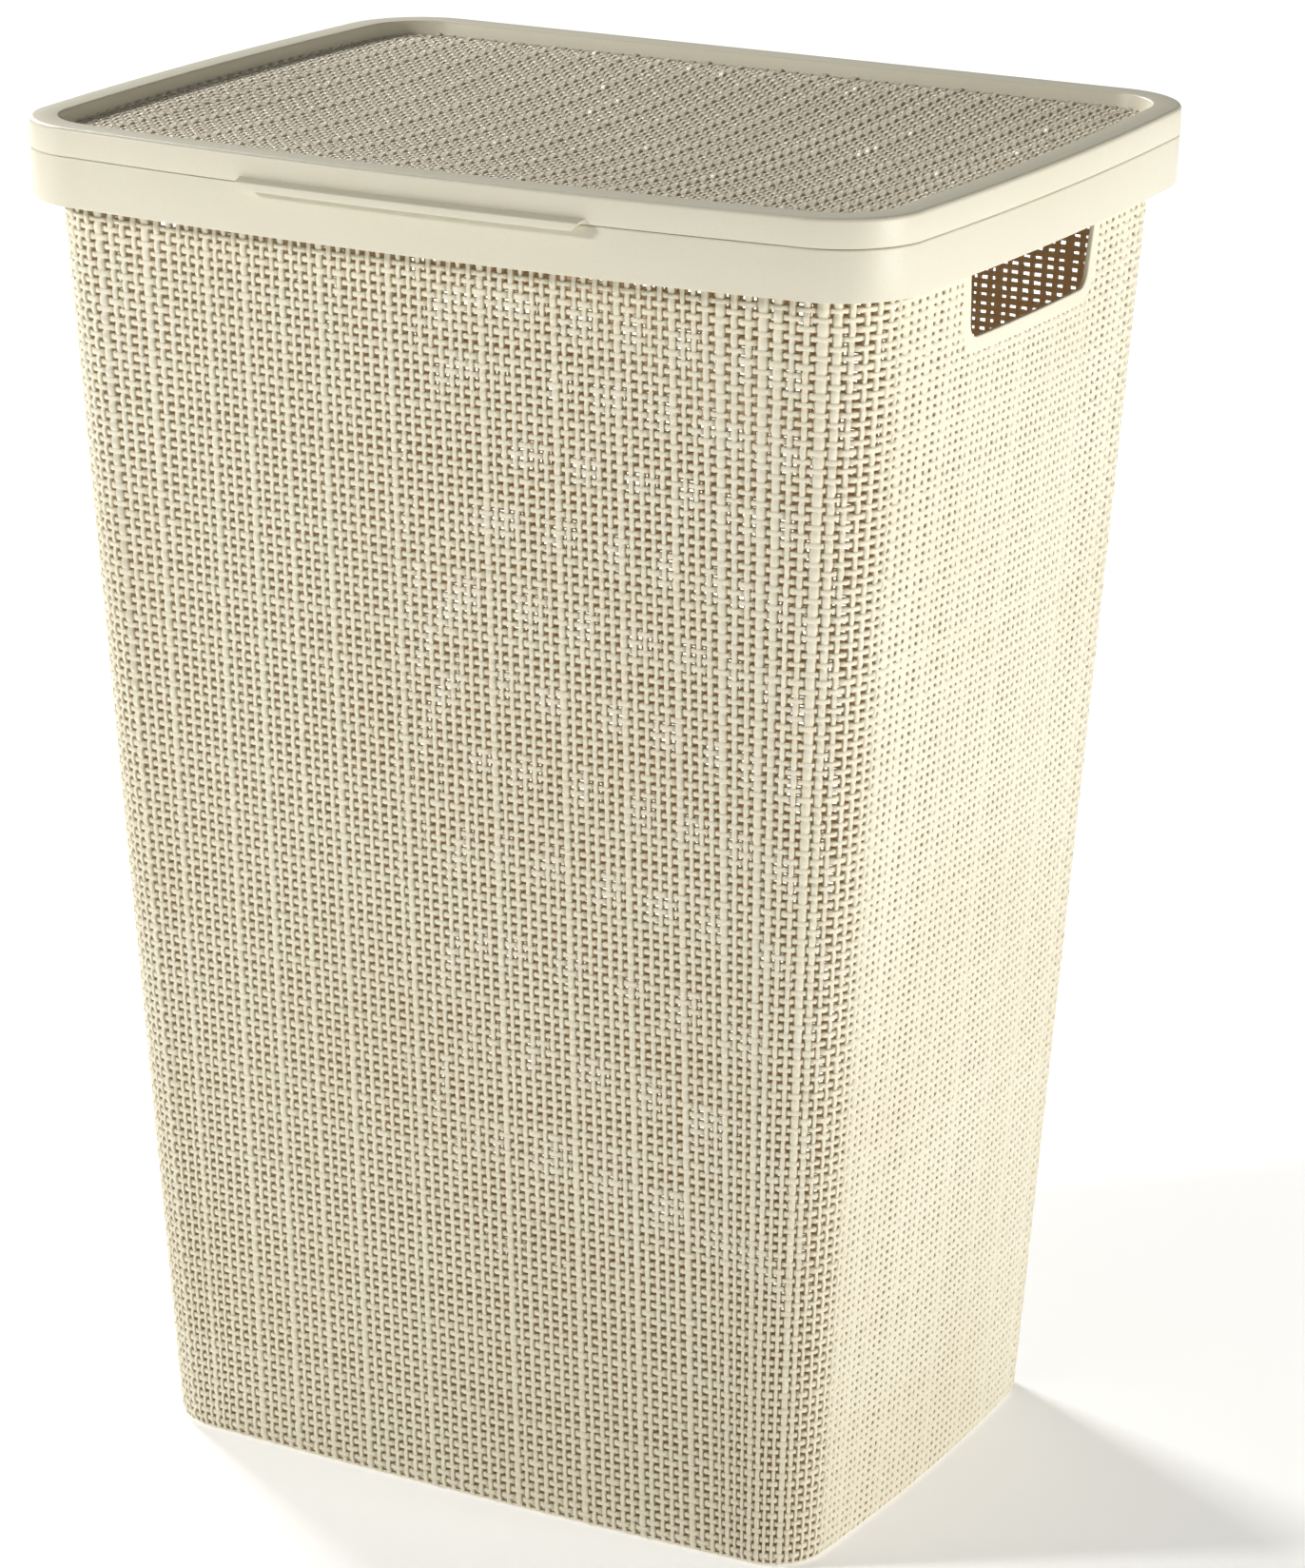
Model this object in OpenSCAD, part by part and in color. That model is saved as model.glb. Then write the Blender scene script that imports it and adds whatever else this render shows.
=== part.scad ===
// Laundry hamper with a hinged lid: a tapered woven-pattern basket with a smooth
// collar and two hand slots, under a lid with a raised frame round a sunken panel.
// Origin: centre of the footprint on the floor. +X right, -Y front, +Z up.

/* [Overall] */
// Width of the lid frame, the widest part
lid_w = 444; // [420:1:470]
// Depth of the lid frame from back to the middle of the front
lid_d = 341.4; // [325:0.2:360]
// Height of the whole hamper, floor to lid crest
total_h = 626.5; // [560:0.5:680]

/* [Plan shape] */
// Corner radius of the lid frame
lid_corner_r = 41.5; // [36:0.5:48]
// How far the front bows out from the corners to its middle
front_bow = 13.1; // [4:0.1:18]
// How far each side bows out from the corners to its middle
side_bow = 7.7; // [2:0.1:11]

/* [Basket walls] */
// Width of the basket at the floor
foot_w = 348.6; // [325:0.2:375]
// Depth of the basket at the floor
foot_d = 249.6; // [235:0.2:265]
// Corner radius at the floor
foot_corner_r = 26.9; // [20:0.1:34]
// Bow of the front at the floor
foot_front_bow = 4.1; // [0.5:0.1:8]
// Bow of each side at the floor
foot_side_bow = 5.8; // [0.5:0.1:8]
// Thickness of the walls
wall_t = 2.2; // [1.6:0.1:2.4]
// Height of the floor plate above the ground
floor_lift = 5; // [2:0.5:12]
// Thickness of the floor plate
floor_t = 2.4; // [1.6:0.1:4]

/* [Collar] */
// Visible height of the collar
collar_h = 22.4; // [16:0.2:30]
// Thickness of the collar's skirt and top
collar_t = 2.5; // [2:0.1:3]
// How far the wall stands in from the lid's edge under the collar, at the sides
wall_inset_x = 11.85; // [10.5:0.05:12.5]
// The same at the front and back
wall_inset_y = 11.15; // [10.5:0.05:12]

/* [Hand slots] */
// Length of a slot along its lower edge
slot_w = 118; // [90:1:130]
// Height of a slot
slot_h = 30; // [24:0.5:36]
// Lean of the slot's ends away from upright, in degrees
slot_flare = 8; // [0:1:12]
// Radius of the slot's lower corners
slot_corner_r = 8; // [4:0.5:10]
// Width of the smooth frame round the slot
slot_frame_w = 7; // [4:0.5:9]
// Distance of the slots' middle behind the hamper's middle
slot_y = 4.5; // [-6:0.5:8]

/* [Lid] */
// Height of the lid frame's outer band
lid_band_h = 12.6; // [11:0.1:15]
// Width of the flat crest round the lid
crest_w = 11.2; // [10:0.1:12]
// Depth of the sunken panel's edge below the crest
panel_drop = 6.1; // [4:0.1:6.5]
// How far the panel dips from its edge to its middle
panel_dish = 6; // [0:0.5:8]
// Thickness of the lid panel
panel_t = 2.5; // [2:0.1:3]
// Height of the rib under the lid that locates it in the basket
rib_h = 11.5; // [6:0.5:14]
// Length of the finger lip at the front
lip_w = 170; // [120:2:220]
// How far the finger lip stands out
lip_out = 4.8; // [3:0.1:4.8]

/* [Hinges] */
// Distance of each hinge from the middle
hinge_x = 125; // [80:1:140]
// Outside diameter of the hinge barrels
barrel_d = 8; // [7:0.1:8.4]
// Diameter of the hinge pins
pin_d = 4; // [3:0.1:4.4]
// Radial clearance of a pin in the lid's eye
pin_play = 0.05; // [0.02:0.01:0.09]
// Width of the lid's eye
eye_w = 18; // [12:1:26]
// Width of each of the collar's ears
ear_w = 7; // [5:0.5:10]

/* [Hidden] */
$fn = 48;
part_gap = 0.4;                                 // shadow gap between collar and lid
skirt_t = 2.5;                                  // thickness of the lid's outer band
crest_round = 1.9;                              // bevel on the crest's outer edge
leg_draft = 1.5;                                // lean of the wall inside the crest
rib_t = 1.8;                                    // thickness of the locating rib
rib_play = 0.9;                                 // gap between the rib and the basket
level_edge = 8;                                 // level part of the panel inside its bowed edge
frame_proud = 0.5;                              // slot frame above the wall's surface
collar_inset_top = 0.3;                         // collar's top edge in from the lid's edge
collar_inset_foot = 1.0;                        // collar's lower edge in from the lid's edge
side_play = 0.4;                                // gap beside a hinge eye
barrel_play = 0.4;                              // gap round a barrel in its notch
over = 1;                                       // overshoot of cutting shapes

part_z = total_h - lid_band_h - part_gap;       // top of the collar
skirt_z = total_h - lid_band_h;                 // lower edge of the lid
collar_z = part_z - collar_h;                   // lower edge of the collar, top of the walls
panel_top = total_h - panel_drop;
panel_z = panel_top - panel_t;                  // underside of the lid panel
recess_inset = crest_round + crest_w + leg_draft;
hinge_y = lid_d/2 + 0.8;
hinge_z = part_z + part_gap/2;
corner_cut = (foot_w - foot_d)/2;               // x - |y| on the lines that part the walls
slot_low = collar_z - 3.5 - slot_h;             // lower edge of the slot
cream = [0.87, 0.84, 0.75];
sand = [0.80, 0.75, 0.63];
ivory = [0.90, 0.88, 0.81];

// ---- Plan outlines ---------------------------------------------------------------
// A level is [width, depth, corner radius, front bow, side bow].
lid_level = [lid_w, lid_d, lid_corner_r, front_bow, side_bow];
foot_level = [foot_w, foot_d, foot_corner_r, foot_front_bow, foot_side_bow];
wall_top_level = [lid_w - 2*wall_inset_x, lid_d - 2*wall_inset_y, lid_corner_r - 6,
    front_bow, side_bow];

// The same outline drawn in by i on every side; a negative i grows it.
function inset(s, i) = [s[0] - 2*i, s[1] - 2*i, s[2] - i,
    s[3]*pow(1 - 2*i/s[0], 2), s[4]*pow(1 - 2*i/s[1], 2)];

// The wall's outer outline at height z, straight from foot to collar and on above it.
function wall_level(z) = foot_level + (wall_top_level - foot_level)*z/collar_z;

function front_y(s, x) = -s[1]/2 + s[3]*pow(2*x/s[0], 2);
function side_x(s, y) = s[0]/2 - s[4]*pow(2*y/s[1], 2);

// Right half of the outline from the middle of the front round to the back:
// bowed front, corner arc, bowed side, corner arc. The back is straight.
function right_half(s, steps = 8) = let (
        r = s[2],
        front_tilt = atan(8*s[3]*(s[0]/2 - r)/pow(s[0], 2)),
        side_tilt = atan(8*s[4]*(s[1]/2 - r)/pow(s[1], 2)),
        xf = s[0]/2 - s[4] - r*(1 - sin(front_tilt)),
        yf = -s[1]/2 + s[3] + r*(1 - sin(side_tilt)),
        yb = s[1]/2 - r*(1 - sin(side_tilt)),
        cf = [side_x(s, yf) - r*cos(side_tilt), front_y(s, xf) + r*cos(front_tilt)],
        cb = [side_x(s, yb) - r*cos(side_tilt), s[1]/2 - r])
    concat(
        [for (i = [0:steps - 1]) [xf*i/steps, front_y(s, xf*i/steps)]],
        [for (i = [0:steps]) let (a = -90 + front_tilt + i*(90 - front_tilt - side_tilt)/steps)
            cf + r*[cos(a), sin(a)]],
        [for (i = [1:steps - 1]) let (y = yf + (yb - yf)*i/steps) [side_x(s, y), y]],
        [for (i = [0:steps]) let (a = side_tilt + i*(90 - side_tilt)/steps)
            cb + r*[cos(a), sin(a)]]);

function outline(s) = let (half = right_half(s))
    concat(half, [for (i = [len(half) - 1:-1:1]) [-half[i][0], half[i][1]]]);

// Solid between outline a at height za and outline b at height zb.
module loft(a, za, b, zb) {
    lower = outline(a);
    upper = outline(b);
    n = len(lower);
    points = concat([for (p = lower) [p[0], p[1], za]], [for (p = upper) [p[0], p[1], zb]]);
    sides = [for (i = [0:n - 1]) let (j = (i + 1) % n) [i, n + i, n + j, j]];
    polyhedron(points, concat([[for (i = [0:n - 1]) i]], [[for (i = [n - 1:-1:0]) n + i]], sides));
}

module plate(s, z0, z1) {
    translate([0, 0, z0]) linear_extrude(z1 - z0) polygon(outline(s));
}

module slab(z0, z1) {
    translate([-lid_w, -lid_w, z0]) cube([2*lid_w, 2*lid_w, z1 - z0]);
}

// ---- Basket ----------------------------------------------------------------------
// The tapered inside or outside of the basket, drawn in from the wall's surface by i.
module tapered_solid(i) {
    loft(inset(wall_level(-over), i), -over, inset(wall_level(part_z + over), i), part_z + over);
}

module wall_band(z0, z1, outer = 0) {
    intersection() {
        difference() {
            tapered_solid(-outer);
            tapered_solid(wall_t);
        }
        slab(z0, z1);
    }
}

// Wedge from the middle of the basket to one wall, bounded by the corner lines.
module front_wedge() {
    linear_extrude(total_h) polygon([[0, corner_cut], [-lid_w, corner_cut - lid_w],
        [lid_w, corner_cut - lid_w]]);
}

module right_wedge() {
    linear_extrude(total_h) polygon([[corner_cut, 0], [lid_w, corner_cut - lid_w],
        [lid_w, lid_w - corner_cut]]);
}

// Rounded corner: the arc of radius r between the directions of its two neighbours.
function fillet(before, p, after, r, steps = 8) = let (
        u = (before - p)/norm(before - p),
        v = (after - p)/norm(after - p),
        half = acos(u*v)/2,
        centre = p + (u + v)/norm(u + v)*r/sin(half),
        from = p + u*r/tan(half) - centre,
        to = p + v*r/tan(half) - centre,
        a0 = atan2(from[1], from[0]),
        turn = (atan2(to[1], to[0]) - a0 + 540) % 360 - 180)
    [for (i = [0:steps]) centre + r*[cos(a0 + turn*i/steps), sin(a0 + turn*i/steps)]];

// Slot outline as [y, z], grown by g: wider at the top, with round lower corners.
function slot_outline(g) = let (
        low = slot_low - g,
        high = slot_low + slot_h + min(g, 3.5),
        lean = tan(slot_flare),
        half_low = slot_w/2 + g/cos(slot_flare) - g*lean,
        half_high = half_low + (high - low)*lean,
        corners = [[slot_y - half_low, low], [slot_y + half_low, low],
            [slot_y + half_high, high], [slot_y - half_high, high]],
        radii = [slot_corner_r + g, slot_corner_r + g, 2, 2])
    [for (k = [0:3]) each fillet(corners[(k + 3) % 4], corners[k], corners[(k + 1) % 4], radii[k])];

module slot_prism(g) {
    translate([lid_w/4, 0, 0]) rotate([90, 0, 90]) linear_extrude(lid_w/4)
        polygon(slot_outline(g));
}

module wall_front() {
    color(sand) intersection() {
        wall_band(0, collar_z);
        front_wedge();
    }
}

module wall_back() {
    color(sand) intersection() {
        wall_band(0, collar_z);
        mirror([0, 1, 0]) front_wedge();
    }
}

module wall_right() {
    color(sand) difference() {
        intersection() {
            wall_band(0, collar_z);
            right_wedge();
        }
        slot_prism(slot_frame_w);
    }
}

module wall_left() {
    mirror([1, 0, 0]) wall_right();
}

module slot_frame_right() {
    color(ivory) intersection() {
        wall_band(0, collar_z, frame_proud);
        difference() {
            slot_prism(slot_frame_w);
            slot_prism(0);
        }
    }
}

module slot_frame_left() {
    mirror([1, 0, 0]) slot_frame_right();
}

module basket_floor() {
    color(sand) intersection() {
        tapered_solid(wall_t);
        slab(floor_lift, floor_lift + floor_t);
    }
}

// Turned-down collar: outer skirt, flat top, and the upright band that carries the walls on.
module top_collar() {
    color(cream) difference() {
        union() {
            difference() {
                loft(inset(lid_level, collar_inset_foot), collar_z,
                    inset(lid_level, collar_inset_top), part_z);
                loft(inset(lid_level, collar_inset_foot + collar_t), collar_z - over,
                    inset(lid_level, collar_inset_top + collar_t), part_z - collar_t);
                tapered_solid(wall_t);
            }
            wall_band(collar_z, part_z);
        }
        for (side = [-1, 1]) {
            hinge_ear_pair(side);
            barrel_notch(side*hinge_x, eye_w + 2*side_play);
        }
    }
}

// ---- Hinges ----------------------------------------------------------------------
// Extrudes a [y, z] profile along X, centred on x and w wide.
module along_x(x, w) {
    translate([x - w/2, 0, 0]) rotate([90, 0, 90]) linear_extrude(w) children();
}

module x_rod(x, w, d) {
    translate([x - w/2, hinge_y, hinge_z]) rotate([0, 90, 0]) cylinder(h = w, d = d);
}

module barrel_notch(x, w) {
    x_rod(x, w, barrel_d + 2*barrel_play);
}

ear_offset = eye_w/2 + side_play + ear_w/2;

// Two solid ears on a gusset that runs down the back of the collar.
module hinge_ear_pair(side) {
    for (s = [-1, 1]) {
        x = side*hinge_x + s*ear_offset;
        x_rod(x, ear_w, barrel_d);
        along_x(x, ear_w) polygon([[hinge_y - 2.9, hinge_z - 11.5], [hinge_y - 0.9, hinge_z - 11.5],
            [hinge_y + barrel_d/2, hinge_z], [hinge_y - 2.9, hinge_z]]);
    }
}

module hinge_ears(side) {
    color(cream) difference() {
        hinge_ear_pair(side);
        x_rod(side*hinge_x, 2*hinge_x, pin_d);
    }
}

module hinge_ears_left() { hinge_ears(-1); }
module hinge_ears_right() { hinge_ears(1); }

module hinge_pin(side) {
    color("silver") x_rod(side*hinge_x, 2*ear_offset + ear_w, pin_d);
}

module hinge_pin_left() { hinge_pin(-1); }
module hinge_pin_right() { hinge_pin(1); }

// The lid's eye before its bore: a barrel on an arm that runs up the back of the lid.
module eye_blank(side) {
    x_rod(side*hinge_x, eye_w, barrel_d);
    along_x(side*hinge_x, eye_w) polygon([[hinge_y - 2.9, hinge_z], [hinge_y + barrel_d/2, hinge_z],
        [hinge_y - 0.3, hinge_z + 7.6], [hinge_y - 2.9, hinge_z + 7.6]]);
}

module hinge_eye(side) {
    color(cream) difference() {
        eye_blank(side);
        x_rod(side*hinge_x, eye_w + 2*over, pin_d + 2*pin_play);
    }
}

module hinge_eye_left() { hinge_eye(-1); }
module hinge_eye_right() { hinge_eye(1); }

// ---- Lid -------------------------------------------------------------------------
// Channel-shaped frame: outer band, flat crest, and an inner leg down to the panel.
module lid_frame() {
    color(ivory) difference() {
        union() {
            plate(lid_level, skirt_z, total_h - crest_round);
            loft(lid_level, total_h - crest_round, inset(lid_level, crest_round), total_h);
        }
        loft(inset(lid_level, recess_inset), panel_top,
            inset(lid_level, recess_inset - leg_draft*(1 + over/panel_drop)), total_h + over);
        plate(inset(lid_level, recess_inset), skirt_z - over, panel_top);
        difference() {
            plate(inset(lid_level, skirt_t), skirt_z - over, total_h - skirt_t);
            plate(inset(lid_level, crest_w), skirt_z - 2*over, total_h);
        }
        plate(inset(lid_level, crest_w - over), skirt_z - over, panel_z);
        for (side = [-1, 1]) {
            eye_blank(side);
            for (s = [-1, 1])
                barrel_notch(side*hinge_x + s*ear_offset, ear_w + 2*side_play);
        }
    }
}

// Top of the panel: level over the rib all round its edge, dished in the middle.
dish_w = lid_w - 2*(recess_inset + side_bow + level_edge);
dish_d = lid_d - 2*(recess_inset + front_bow + level_edge);
function dish_z(x, y) = panel_top - panel_dish*(1 - pow(min(1, abs(2*x/dish_w)), 3))
    *(1 - pow(min(1, abs(2*y/dish_d)), 2));

module dished_sheet(nx = 22, ny = 16) {
    points = [for (k = [0, 1]) for (i = [0:nx]) for (j = [0:ny])
        let (x = (i/nx - 0.5)*lid_w, y = (j/ny - 0.5)*lid_d) [x, y, dish_z(x, y) - k*panel_t]];
    under = (nx + 1)*(ny + 1);
    row = ny + 1;
    tops = [for (i = [0:nx - 1]) for (j = [0:ny - 1]) let (a = i*row + j)
        each [[a, a + 1, a + row + 1], [a, a + row + 1, a + row]]];
    unders = [for (t = tops) [t[0] + under, t[2] + under, t[1] + under]];
    ends = [for (i = [0:nx - 1]) let (a = i*row, b = a + ny)
        each [[a, a + row, a + row + under, a + under], [b + row, b, b + under, b + row + under]]];
    flanks = [for (j = [0:ny - 1]) let (b = nx*row + j)
        each [[j + 1, j, j + under, j + 1 + under], [b, b + 1, b + 1 + under, b + under]]];
    polyhedron(points, concat(tops, unders, ends, flanks));
}

module lid_panel() {
    color(sand) intersection() {
        dished_sheet();
        plate(inset(lid_level, recess_inset), panel_z - panel_dish - over, panel_top + over);
    }
}

module locating_rib() {
    mouth = inset(wall_level(panel_z - rib_h), wall_t + rib_play);
    color(ivory) difference() {
        plate(mouth, panel_z - rib_h, panel_z);
        plate(inset(mouth, rib_t), panel_z - rib_h - over, panel_z + over);
    }
}

// Finger lip: a ledge with a turned-down edge, its section as [out, up] from the lower
// front edge of the lid, its ends cut back as it drops.
lip_section = [[0, 2.4], [-1.4, 1.9], [-lip_out + 0.8, 1.5], [-lip_out, 0.9], [-lip_out, -2],
    [-lip_out + 0.4, -2.4], [-lip_out + 1.2, -2.4], [-lip_out + 1.5, -2], [-lip_out + 1.5, -0.1],
    [0, 0]];

module lift_lip() {
    steps = 16;
    n = len(lip_section);
    top = lip_section[0][1];
    points = [for (i = [0:steps]) for (p = lip_section)
        let (x = (2*i/steps - 1)*(lip_w/2 - (top - p[1])))
        [x, front_y(lid_level, x) + p[0], skirt_z + p[1]]];
    sides = [for (i = [0:steps - 1]) for (k = [0:n - 1]) let (m = (k + 1) % n)
        [i*n + k, i*n + m, (i + 1)*n + m, (i + 1)*n + k]];
    color(ivory) polyhedron(points, concat([[for (k = [n - 1:-1:0]) k]],
        [[for (k = [0:n - 1]) steps*n + k]], sides));
}

wall_front();
wall_back();
wall_left();
wall_right();
basket_floor();
top_collar();
slot_frame_left();
slot_frame_right();
hinge_ears_left();
hinge_ears_right();
hinge_pin_left();
hinge_pin_right();
lid_frame();
lid_panel();
lift_lip();
locating_rib();
hinge_eye_left();
hinge_eye_right();
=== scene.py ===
"""Looks of the laundry hamper with lid: perforated woven relief, smooth collar and rim."""
import math

import bpy
import numpy as np
from mathutils import Matrix, Vector


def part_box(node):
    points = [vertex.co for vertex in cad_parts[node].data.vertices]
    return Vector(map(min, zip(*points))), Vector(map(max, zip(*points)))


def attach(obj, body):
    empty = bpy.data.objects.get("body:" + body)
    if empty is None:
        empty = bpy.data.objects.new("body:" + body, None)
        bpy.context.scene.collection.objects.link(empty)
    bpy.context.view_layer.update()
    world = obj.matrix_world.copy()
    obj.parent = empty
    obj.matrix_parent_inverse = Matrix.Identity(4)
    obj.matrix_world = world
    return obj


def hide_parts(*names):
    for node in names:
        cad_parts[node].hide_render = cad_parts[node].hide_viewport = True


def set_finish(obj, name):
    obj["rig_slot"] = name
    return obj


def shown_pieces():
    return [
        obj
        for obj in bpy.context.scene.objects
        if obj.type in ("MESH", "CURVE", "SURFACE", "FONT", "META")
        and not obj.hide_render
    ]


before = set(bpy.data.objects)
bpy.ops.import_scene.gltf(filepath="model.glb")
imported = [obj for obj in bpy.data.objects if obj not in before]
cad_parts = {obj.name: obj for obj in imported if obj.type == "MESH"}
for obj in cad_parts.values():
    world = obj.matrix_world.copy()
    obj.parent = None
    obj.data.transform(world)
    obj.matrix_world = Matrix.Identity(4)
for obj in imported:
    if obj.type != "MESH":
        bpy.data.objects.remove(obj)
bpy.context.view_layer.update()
rng = np.random.default_rng(7)                      # every small irregularity of the weave

# ---- Sizes, in millimetres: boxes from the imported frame, shapes as in part.scad --------
lid_lo, lid_hi = (np.array(v) * 1000 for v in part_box("lid_frame"))
rib_lo, rib_hi = (np.array(v) * 1000 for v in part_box("locating_rib"))
floor_lo, floor_hi = (np.array(v) * 1000 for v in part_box("basket_floor"))
lid_w = lid_hi[0] - lid_lo[0]
lid_d = 341.4
total_h = lid_hi[2]
skirt_z = lid_lo[2]                                 # lower edge of the lid's skirt
part_z = skirt_z - 0.4                              # top of the collar, a small gap lower
collar_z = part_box("wall_front")[1][2] * 1000        # lower edge of the collar
panel_top = total_h - 6.1                           # the sunken panel's surface, at its edges
panel_z = rib_hi[2]                                 # its underside, where the rib starts
wall_t, skirt_t, collar_t = 2.2, 2.5, 2.5           # thicknesses of the wall, skirt and collar
hinge_x, hinge_y, hinge_z = 125.0, lid_d / 2 + 0.8, part_z + 0.2
# Outlines: width, depth, corner radius, bow of the front, bow of the sides.
LID = np.array([lid_w, lid_d, 41.5, 13.1, 7.7])
FOOT = np.array([348.6, 249.6, 26.9, 4.1, 5.8])
WALL_TOP = np.array([lid_w - 23.7, lid_d - 22.3, 35.5, 13.1, 7.7])
RECESS = 14.6                                       # from the lid's edge to the sunken panel
PANEL_T = 2.5
SLOT_Y, SLOT_W, SLOT_H, SLOT_FLARE, SLOT_R, SLOT_BAND = 4.5, 118.0, 30.0, 8.0, 8.0, 7.0
SLOT_LOW = collar_z - 3.5 - SLOT_H
LIP_W, LIP_OUT = 170.0, 4.8


def inset(s, i):
    """The same outline drawn in by i on every side."""
    return np.array([s[0] - 2 * i, s[1] - 2 * i, s[2] - i,
                     s[3] * (1 - 2 * i / s[0]) ** 2, s[4] * (1 - 2 * i / s[1]) ** 2])


def wall_level(z):
    """The walls' outline at height z."""
    return FOOT + (WALL_TOP - FOOT) * z / collar_z


def corner_shape(s):
    """Tilts of the front and side where the corner arcs begin, and the arcs' centres."""
    w, d, r, bf, bs = s
    ft = math.atan(8 * bf * (w / 2 - r) / w ** 2)
    st = math.atan(8 * bs * (d / 2 - r) / d ** 2)
    xf = w / 2 - bs - r * (1 - math.sin(ft))
    yf = -d / 2 + bf + r * (1 - math.sin(st))
    yb = d / 2 - r * (1 - math.sin(st))
    cfx = w / 2 - bs * (2 * yf / d) ** 2 - r * math.cos(st)
    cfy = -d / 2 + bf * (2 * xf / w) ** 2 + r * math.cos(ft)
    cbx = w / 2 - bs * (2 * yb / d) ** 2 - r * math.cos(st)
    return ft, st, cfx, cfy, cbx, d / 2 - r


def section_ends(s):
    """Lengths from the middle of the front to the ends of: front, arc, side, arc, back."""
    ft, st, cfx, cfy, cbx, cby = corner_shape(s)
    r = s[2]
    quarter = math.pi / 2
    return np.cumsum([0, cfx + r * math.sin(ft), r * (quarter - ft - st),
                      cby - cfy + 2 * r * math.sin(st), r * (quarter - st), cbx])


def outline(s, u):
    """Points and outward normals at u of an outline. u runs 0..10 round the hamper: half the
    front, corner, right side, corner, half the back, then the same mirrored."""
    w, d, r, bf, bs = s
    ft, st, cfx, cfy, cbx, cby = corner_shape(s)
    u = np.asarray(u, float) % 10
    flip = u > 5
    v = np.where(flip, 10 - u, u)
    sec = np.minimum(v.astype(int), 4)
    t = v - sec
    x_front = (cfx + r * math.sin(ft)) * t
    y_side = cfy - r * math.sin(st) + (cby - cfy + 2 * r * math.sin(st)) * t
    a1 = -math.pi / 2 + ft + t * (math.pi / 2 - ft - st)
    a3 = st + t * (math.pi / 2 - st)
    side_x = w / 2 - bs * (2 * y_side / d) ** 2
    x = np.choose(sec, [x_front, cfx + r * np.cos(a1), side_x, cbx + r * np.cos(a3), cbx * (1 - t)])
    y = np.choose(sec, [-d / 2 + bf * (2 * x_front / w) ** 2, cfy + r * np.sin(a1), y_side,
                        cby + r * np.sin(a3), np.full_like(t, d / 2)])
    nx = np.choose(sec, [8 * bf * x_front / w ** 2, np.cos(a1), np.ones_like(t), np.cos(a3), 0 * t])
    ny = np.choose(sec, [-np.ones_like(t), np.sin(a1), 8 * bs * y_side / d ** 2, np.sin(a3),
                         np.ones_like(t)])
    k = np.hypot(nx, ny)
    sx = np.where(flip, -1, 1)
    return np.stack([sx * x, y], -1), np.stack([sx * nx / k, ny / k], -1)


# ---- Mesh helpers ------------------------------------------------------------------------
def add_mesh(name, points, groups, sharp=None, depth=None):
    """Mesh object from points in mm and groups of faces, each an (n, corners) index array. sharp
    is the angle past which an edge stays sharp; depth is a value per point for the painted shade."""
    groups = [g for g in groups if len(g)]
    used, inverse = np.unique(np.concatenate([g.ravel() for g in groups]), return_inverse=True)
    sizes = np.concatenate([np.full(len(g), g.shape[1]) for g in groups])
    me = bpy.data.meshes.new(name)
    me.vertices.add(len(used))
    me.vertices.foreach_set("co", (points[used] / 1000).astype(np.float32).ravel())
    me.loops.add(len(inverse))
    me.loops.foreach_set("vertex_index", inverse.astype(np.int32))
    me.polygons.add(len(sizes))
    starts = np.concatenate([[0], np.cumsum(sizes)[:-1]]).astype(np.int32)
    me.polygons.foreach_set("loop_start", starts)
    me.update(calc_edges=True)
    shade_attr = me.attributes.new("depth", "FLOAT", "POINT")
    values = np.zeros(len(used)) if depth is None else depth[used]
    shade_attr.data.foreach_set("value", values.astype(np.float32))
    if sharp is None:
        me.shade_flat()
    else:
        me.shade_smooth()
        me.set_sharp_from_angle(angle=math.radians(sharp))
    ob = bpy.data.objects.new(name, me)
    bpy.context.scene.collection.objects.link(ob)
    return ob


def round_profile(corners, radii, steps=5):
    """Closed profile [(a, z)] with its corners rounded; each corner is (a, z)."""
    out = []
    n = len(corners)
    for k in range(n):
        p, q, r = (np.array(corners[(k + j) % n], float) for j in (-1, 0, 1))
        rad = radii[k]
        if rad <= 0:
            out.append(q)
            continue
        u, v = (p - q) / np.linalg.norm(p - q), (r - q) / np.linalg.norm(r - q)
        half = math.acos(max(-1, min(1, float(u @ v)))) / 2
        c = q + (u + v) / np.linalg.norm(u + v) * rad / math.sin(half)
        a0 = math.atan2(*(q + u * rad / math.tan(half) - c)[::-1])
        a1 = math.atan2(*(q + v * rad / math.tan(half) - c)[::-1])
        turn = (a1 - a0 + math.pi) % (2 * math.pi) - math.pi
        out += [c + rad * np.array([math.cos(a0 + turn * i / steps), math.sin(a0 + turn * i / steps)])
                for i in range(steps + 1)]
    return np.array(out)


def ring(name, level_of, profile, us, sharp=40):
    """A profile swept round an outline: level_of(a, z) gives the outline for a profile point."""
    n, m = len(us), len(profile)
    pts = np.zeros((m, n, 3))
    for k, (a, z) in enumerate(profile):
        pts[k, :, :2] = outline(level_of(a, z), us)[0]
        pts[k, :, 2] = z
    i, j = np.meshgrid(np.arange(m), np.arange(n), indexing="ij")
    i2, j2 = (i + 1) % m, (j + 1) % n
    quads = np.stack([i * n + j, i * n + j2, i2 * n + j2, i2 * n + j], -1).reshape(-1, 4)
    return add_mesh(name, pts.reshape(-1, 3), [quads], sharp)


def applied(ob):
    """The object with its modifiers made final."""
    dg = bpy.context.evaluated_depsgraph_get()
    me = bpy.data.meshes.new_from_object(ob.evaluated_get(dg))
    ob.modifiers.clear()
    ob.data = me
    return ob


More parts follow.
